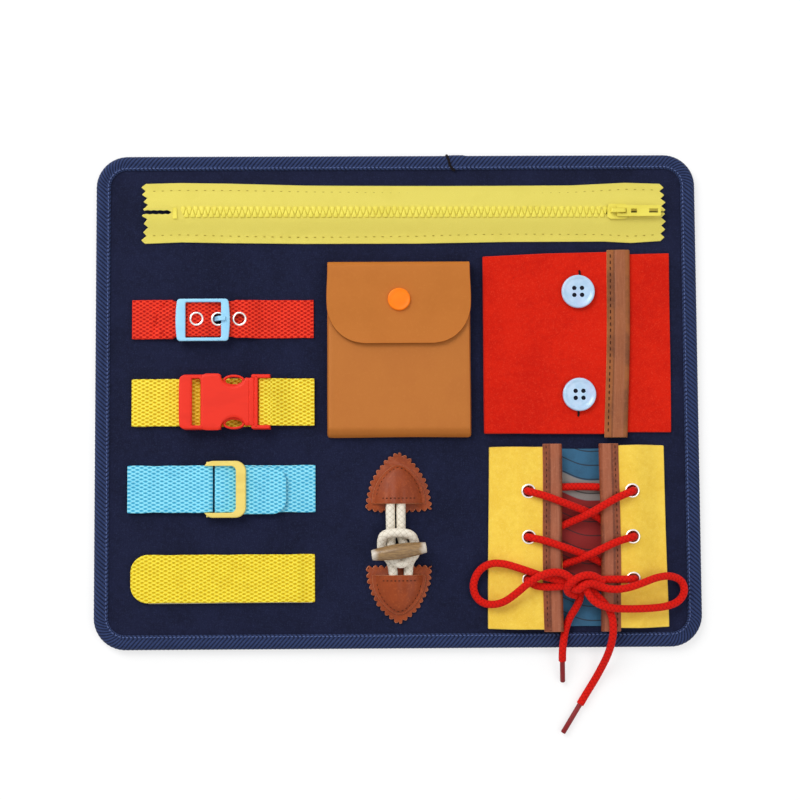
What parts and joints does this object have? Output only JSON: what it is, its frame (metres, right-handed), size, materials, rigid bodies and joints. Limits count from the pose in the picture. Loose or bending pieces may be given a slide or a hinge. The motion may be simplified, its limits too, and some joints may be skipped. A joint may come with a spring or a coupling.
{
  "type": "activity board",
  "caption": "Flat padded felt board with a bound edge and sewn-on zip, belt, clip, strap, tab, pouch, buttoned panel, toggle and lacing for practising dressing.",
  "frame": {"origin": "centre of the board's back face, in the plane it lies on", "axes": "+Z out of the board's face, +X along its width, +Y towards the zip"},
  "size_m": [0.32, 0.3071, 0.022],
  "materials": {
    "felt_navy": "needled felt",
    "stiffener": "pressed sheet",
    "binding_blue": "herringbone tape",
    "zip_tape_yellow": "woven tape",
    "zip_plastic": "moulded",
    "webbing_red": "ribbed webbing",
    "buckle_blue": "moulded",
    "eyelet_metal": "plated",
    "webbing_yellow": "webbing",
    "clip_orange": "moulded",
    "webbing_blue": "webbing",
    "slide_yellow": "moulded",
    "hook_loop": "hook and loop",
    "tab_yellow": "webbing",
    "leather_tan": "smooth",
    "snap_orange": "moulded",
    "snap_metal": "plated",
    "felt_red": "felt",
    "leather_brown": "smooth",
    "button_blue": "pearl",
    "thread_pale": "thread",
    "leather_russet": "waxed",
    "cord_cream": "braided",
    "toggle_wood": "polished",
    "picture_cloth": "printed",
    "felt_yellow": "felt",
    "lace_red": "braided",
    "aglet_red": "moulded"
  },
  "bodies": {
    "board": {"back_felt": "felt_navy", "stiffener_sheet": "stiffener", "front_felt": "felt_navy", "edge_binding": "binding_blue", "zip_tape_upper": "zip_tape_yellow", "zip_tape_lower": "zip_tape_yellow", "zip_teeth_upper": "zip_plastic", "zip_teeth_lower": "zip_plastic", "zip_end_stops": "zip_plastic", "belt_base_strap": "webbing_red", "belt_tongue": "webbing_red", "belt_buckle": "buckle_blue", "belt_eyelets": "eyelet_metal", "clip_strap_left": "webbing_yellow", "clip_strap_right": "webbing_yellow", "clip_socket": "clip_orange", "slide_strap_anchor": "webbing_blue", "slide_strap_tongue": "webbing_blue", "slide_buckle": "slide_yellow", "loop_pads": "hook_loop", "tab_anchor": "tab_yellow", "pouch_back": "leather_tan", "pouch_front": "leather_tan", "snap_stud": "snap_metal", "red_under_panel": "felt_red", "toggle_patch_upper": "leather_russet", "toggle_patch_lower": "leather_russet", "toggle_patch_facings": "leather_russet", "toggle_cord_upper": "cord_cream", "toggle_cord_lower": "cord_cream", "lacing_picture": "picture_cloth", "lacing_panel_left": "felt_yellow", "lacing_panel_right": "felt_yellow", "lacing_trims": "leather_brown", "lacing_eyelets": "eyelet_metal", "lace_crossings": "lace_red", "lace_bow": "lace_red", "lace_tails": "lace_red", "lace_aglets": "aglet_red"},
    "zip_slider": {"zip_slider": "zip_plastic"},
    "zip_puller": {"zip_puller": "zip_plastic"},
    "belt_prong": {"belt_prong": "buckle_blue"},
    "clip_plug": {"clip_plug": "clip_orange"},
    "clip_arm_upper": {"clip_arm_upper": "clip_orange"},
    "clip_arm_lower": {"clip_arm_lower": "clip_orange"},
    "slide_tip": {"slide_strap_tip": "webbing_blue", "slide_hook_pad": "hook_loop"},
    "tab": {"tab_strap": "tab_yellow", "tab_hook_tape": "hook_loop"},
    "pouch_flap": {"pouch_flap": "leather_tan", "snap_cap": "snap_orange", "snap_socket": "snap_metal"},
    "red_flap": {"red_flap": "felt_red", "red_flap_trim": "leather_brown", "buttonhole_lips": "felt_red"},
    "button_upper": {"button_upper": "button_blue", "button_thread_upper": "thread_pale"},
    "button_lower": {"button_lower": "button_blue", "button_thread_lower": "thread_pale"},
    "toggle": {"toggle_bar": "toggle_wood"}
  },
  "joints": [
    {"name": "zip_slide", "type": "slide", "parent": "board", "child": "zip_slider", "axis": [-1, 0, 0], "range_m": [0, 0.2257], "deforming": ["zip_teeth_upper", "zip_teeth_lower"]},
    {"name": "zip_pull_swing", "type": "hinge", "parent": "zip_slider", "child": "zip_puller", "pos_m": [0.1178, 0.0995, 0.0107], "axis": [0, -1, 0], "range_deg": [0, 170]},
    {"name": "belt_prong_lift", "type": "hinge", "parent": "board", "child": "belt_prong", "pos_m": [-0.103, 0.043, 0.0067], "axis": [0, -1, 0], "range_deg": [0, 6]},
    {"name": "clip_release", "type": "slide", "parent": "board", "child": "clip_plug", "axis": [1, 0, 0], "range_m": [0, 0.015], "deforming": ["clip_strap_right", "clip_arm_upper", "clip_arm_lower"]},
    {"name": "clip_squeeze_upper", "type": "hinge", "parent": "clip_plug", "child": "clip_arm_upper", "pos_m": [-0.0777, 0.0064, 0.0092], "axis": [0, 0, 1], "range_deg": [0, 10], "stiffness_Nm_per_rad": 0.01},
    {"name": "clip_squeeze_lower", "type": "hinge", "parent": "clip_plug", "child": "clip_arm_lower", "pos_m": [-0.0777, -0.0088, 0.0092], "axis": [0, 0, 1], "range_deg": [-10, 0], "stiffness_Nm_per_rad": 0.01},
    {"name": "slide_tip_peel", "type": "hinge", "parent": "board", "child": "slide_tip", "pos_m": [-0.078, -0.047, 0.0086], "axis": [0, -1, 0], "range_deg": [0, 110]},
    {"name": "tab_peel", "type": "hinge", "parent": "board", "child": "tab", "pos_m": [-0.054, -0.0937, 0.0074], "axis": [0, 1, 0], "range_deg": [0, 150]},
    {"name": "pouch_flap_open", "type": "hinge", "parent": "board", "child": "pouch_flap", "pos_m": [0.001, 0.0735, 0.0133], "axis": [-1, 0, 0], "range_deg": [0, 165]},
    {"name": "red_flap_open", "type": "hinge", "parent": "board", "child": "red_flap", "pos_m": [0.0452, 0.0293, 0.0083], "axis": [0, -1, 0], "range_deg": [0, 125], "deforming": ["buttonhole_lips"]},
    {"name": "button_turn_upper", "type": "hinge", "parent": "board", "child": "button_upper", "pos_m": [0.096, 0.0565, 0.0083], "axis": [0, 0, 1], "range_deg": [-30, 30]},
    {"name": "button_turn_lower", "type": "hinge", "parent": "board", "child": "button_lower", "pos_m": [0.096, 0.0019, 0.0083], "axis": [0, 0, 1], "range_deg": [-30, 30]},
    {"name": "toggle_turn", "type": "hinge", "parent": "board", "child": "toggle", "pos_m": [0.0004, -0.0798, 0.018], "axis": [0, 0, 1], "range_deg": [-33, 17]}
  ],
  "couplings": [
    {"joint": "clip_squeeze_lower", "follows": "clip_squeeze_upper", "ratio": -1}
  ]
}
